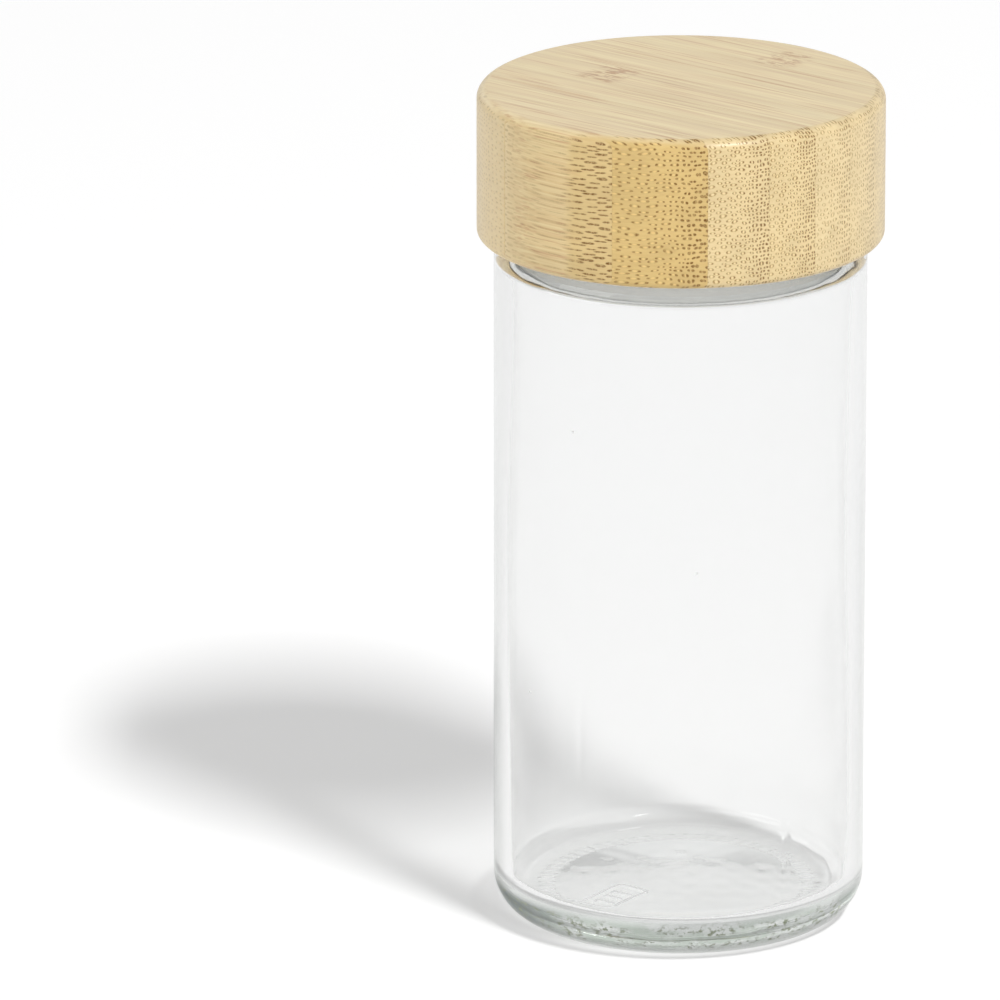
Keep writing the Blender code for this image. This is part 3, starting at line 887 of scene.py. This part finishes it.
class SPICEJAR_OT_insert(bpy.types.Operator):
    """Build the plastic insert with its inner thread, its bead and its outer ribs"""

    bl_idname = "spicejar.insert"
    bl_label = "Threaded insert"

    columns_per_rib = 12
    # The play between the two threads, and how far round the insert's thread is from the neck's
    play = 0.05 * MM
    thread_turn = 0.1

    def execute(self, context):
        thread = context.scene.spicejar_thread
        liner = context.scene.spicejar_liner
        outer = INSERT_HIGH.x - liner.rib_height
        inner = outer - liner.wall
        bottom, top, chamfer = INSERT_LOW.z, INSERT_HIGH.z, liner.chamfer
        ceiling = top - liner.top
        bead_top = SEAL_LOW.z - (ceiling - SEAL_HIGH.z)
        wall_end = bead_top - liner.bead_height
        points = filled([(0.0, top), (outer - chamfer, top)], 4.0 * MM)
        points += filled([(outer, top - chamfer), (outer, bottom + chamfer)], 4.0 * MM)
        points += [(outer - chamfer, bottom), (inner + chamfer, bottom)]
        points += filled([(inner, bottom + chamfer), (inner, wall_end)], 0.25 * MM)
        half = liner.bead_height / 2
        bead = arc((0.0, 0.0), 1.0, -90, 90, 8)[1:-1]
        points += [(inner - r * liner.bead_reach, bead_top - half + z * half) for r, z in bead]
        points += [(inner, bead_top), (inner, ceiling), (0.0, ceiling)]
        thread_end = JAR_HIGH.z - thread.below_rim - thread.pitch * (0.5 - self.thread_turn)

        def shaped(radius, height, angle):
            rib = rising(np.cos(angle * liner.ribs), -0.25, 0.25) * liner.rib_height
            outside = (radius > outer - chamfer / 2) & (height < top - chamfer / 2)
            outside = outside & (height > bottom + chamfer / 2)
            on_wall = (np.abs(radius - inner) < 0.01 * MM) & (height < wall_end)
            turn = (angle + self.thread_turn * math.tau) % math.tau
            stands = thread_height(thread, turn, height, thread_end, thread.insert_turns)
            stands = stands * rising(height, bottom, bottom + 0.8 * MM) * (thread.height - self.play)
            radius = radius + outside * rib - on_wall * stands
            return radius, height

        mesh = turned("insert", points, self.columns_per_rib * liner.ribs, shaped)
        mesh.set_sharp_from_angle(angle=math.radians(50))
        finish = moulded_material("white_plastic", liner.plastic, 0.38, 900.0)
        add_piece("insert", mesh, finish, "lid", "threaded_insert")
        return {"FINISHED"}


class SPICEJAR_OT_seal(bpy.types.Operator):
    """Build the soft liner as a disc with rounded edges"""

    bl_idname = "spicejar.seal"
    bl_label = "Seal disc"

    columns = 128

    def execute(self, context):
        liner = context.scene.spicejar_liner
        radius, low, high, edge = SEAL_HIGH.x, SEAL_LOW.z, SEAL_HIGH.z, liner.liner_edge
        points = filled([(0.0, high), (radius - edge, high)], 2.0 * MM)
        points += arc((radius - edge, high - edge), edge, 90, 0, 4)[1:]
        points += arc((radius - edge, low + edge), edge, 0, -90, 4)
        points += filled([(radius - edge, low), (0.0, low)], 0.5 * MM)[1:]
        finish = moulded_material("seal_foam", liner.foam, 0.65, 2500.0)
        add_piece("seal", turned("seal", points, self.columns), finish, "seal", "seal_disc")
        return {"FINISHED"}


class SPICEJAR_OT_studio(bpy.types.Operator):
    """Build the pale floor, the two lamps, the light all round and the camera"""

    bl_idname = "spicejar.studio"
    bl_label = "Studio"

    def direction(self, azimuth, elevation):
        """Towards a place at this azimuth, where 0 is in front, and this elevation."""
        level = math.cos(elevation)
        return Vector((math.sin(azimuth) * level, -math.cos(azimuth) * level, math.sin(elevation)))

    def seen(self, wires):
        """1 for rays that show the background, straight from the camera or through glass."""
        rays = wires.add("ShaderNodeLightPath").outputs
        return wires.maths("ADD", rays["Is Camera Ray"], rays["Is Transmission Ray"], clamp=True)

    def camera(self, context, studio):
        target = Vector((0.0, 0.0, studio.aim_height))
        back = self.direction(studio.azimuth, studio.elevation)
        right = Vector((math.cos(studio.azimuth), math.sin(studio.azimuth), 0.0))
        up = back.cross(right)
        per_pixel = studio.distance / studio.focal_pixels
        aside, below = ((pixel - studio.frame_pixels / 2) * per_pixel for pixel in studio.jar_pixel)
        aim = target - right * aside + up * below
        camera = new_object("camera", bpy.data.cameras.new("camera"))
        camera.location = target + back * studio.distance
        camera.rotation_euler = (aim - camera.location).to_track_quat("-Z", "Y").to_euler()
        camera.data.lens = studio.focal_pixels / studio.frame_pixels * camera.data.sensor_width
        context.scene.camera = camera

    def lamp(self, name, azimuth, elevation, distance, sides, power, roll=0.0):
        lamp = bpy.data.lights.new(name, "AREA")
        lamp.energy = power
        lamp.shape = "RECTANGLE"
        lamp.size, lamp.size_y = sides
        towards = self.direction(azimuth, elevation)
        roll_turn = Quaternion((0.0, 0.0, 1.0), roll)
        holder = new_object(name, lamp)
        holder.location = towards * distance
        holder.rotation_euler = (towards.to_track_quat("Z", "Y") @ roll_turn).to_euler()

    def world(self, context, studio):
        """White where it is seen, and a little grey where glass mirrors it. Dimmer overhead."""
        world = bpy.data.worlds.new("studio")
        world.use_nodes = True
        world.node_tree.nodes.clear()
        wires = Wires(world.node_tree)
        towards = wires.add("ShaderNodeTexCoord").outputs["Generated"]
        light = wires.ease(wires.split(towards)[2], 0.15, 0.85, studio.horizon, studio.ambient)
        screens = wires.noise(towards, studio.mirrored_scale, 1.0)
        mirrored = wires.ease(screens, 0.38, 0.62, studio.mirrored_low, studio.mirrored_high)
        by_glass = wires.add("ShaderNodeLightPath").outputs["Is Singular Ray"]
        strength = wires.maths("MAXIMUM", light, self.seen(wires))
        strength = wires.maths("MAXIMUM", strength, wires.times(mirrored, by_glass))
        shown = wires.add("ShaderNodeBackground", WHITE, strength)
        wires.fill(wires.add("ShaderNodeOutputWorld"), Surface=shown.outputs[0])
        context.scene.world = world

    def floor(self, studio):
        mesh = bpy.data.meshes.new("floor")
        with edited(mesh) as shape:
            bmesh.ops.create_grid(shape, x_segments=1, y_segments=1, size=studio.floor_reach)
        made, wires, shader, output = new_material("floor")
        wires.fill(shader, Base_Color=rgba(studio.floor), Roughness=1.0, Specular_IOR_Level=0.0)
        lift = wires.times(self.seen(wires), studio.floor_lift)
        through = wires.add("ShaderNodeLightPath").outputs["Is Transmission Ray"]
        glow = wires.add("ShaderNodeEmission", WHITE, wires.line(through, studio.through_lift, lift))
        both = wires.add("ShaderNodeAddShader", shader.outputs[0], glow.outputs[0])
        wires.fill(output, Surface=both.outputs[0])
        floor = new_object("floor", mesh)
        floor.data.materials.append(made)
        floor.location.z = -studio.floor_drop

    def execute(self, context):
        studio = context.scene.spicejar_studio
        self.camera(context, studio)
        self.lamp(
            "key", studio.azimuth + studio.key_turn, studio.key_elevation, studio.key_distance,
            (studio.key_length, studio.key_width), studio.key_power, studio.key_roll,
        )
        self.lamp(
            "fill", studio.azimuth + studio.fill_turn, studio.fill_elevation, studio.fill_distance,
            (studio.fill_size, studio.fill_size), studio.fill_power,
        )
        self.world(context, studio)
        self.floor(studio)
        context.scene.view_settings.view_transform = "Standard"
        return {"FINISHED"}


BUILD_ORDER = (
    SPICEJAR_OT_studio,
    SPICEJAR_OT_glass,
    SPICEJAR_OT_seal,
    SPICEJAR_OT_insert,
    SPICEJAR_OT_bamboo,
)

SETTINGS = {
    "spicejar_glass": GlassSettings,
    "spicejar_thread": ThreadSettings,
    "spicejar_bamboo": BambooSettings,
    "spicejar_liner": LinerSettings,
    "spicejar_studio": StudioSettings,
}


class SPICEJAR_PT_panel(bpy.types.Panel):
    """Lists what the jar is built from"""

    bl_idname = "SPICEJAR_PT_panel"
    bl_label = "Spice Jar"
    bl_space_type = "VIEW_3D"
    bl_region_type = "UI"
    bl_category = "Spice Jar"

    def draw(self, context):
        for group in SETTINGS:
            box = self.layout.box()
            settings = getattr(context.scene, group)
            for label in settings.__annotations__:
                box.prop(settings, label)
        for operator in BUILD_ORDER:
            self.layout.operator(operator.bl_idname)


def register():
    for name, group in SETTINGS.items():
        bpy.utils.register_class(group)
        setattr(bpy.types.Scene, name, PointerProperty(type=group))
    for shown in (*BUILD_ORDER, SPICEJAR_PT_panel):
        bpy.utils.register_class(shown)


def unregister():
    for shown in (SPICEJAR_PT_panel, *BUILD_ORDER):
        bpy.utils.unregister_class(shown)
    for name, group in SETTINGS.items():
        delattr(bpy.types.Scene, name)
        bpy.utils.unregister_class(group)


def main():
    register()
    bpy.ops.spicejar.studio()
    bpy.ops.spicejar.glass()
    bpy.ops.spicejar.seal()
    bpy.ops.spicejar.insert()
    bpy.ops.spicejar.bamboo()


if __name__ == "__main__":
    main()
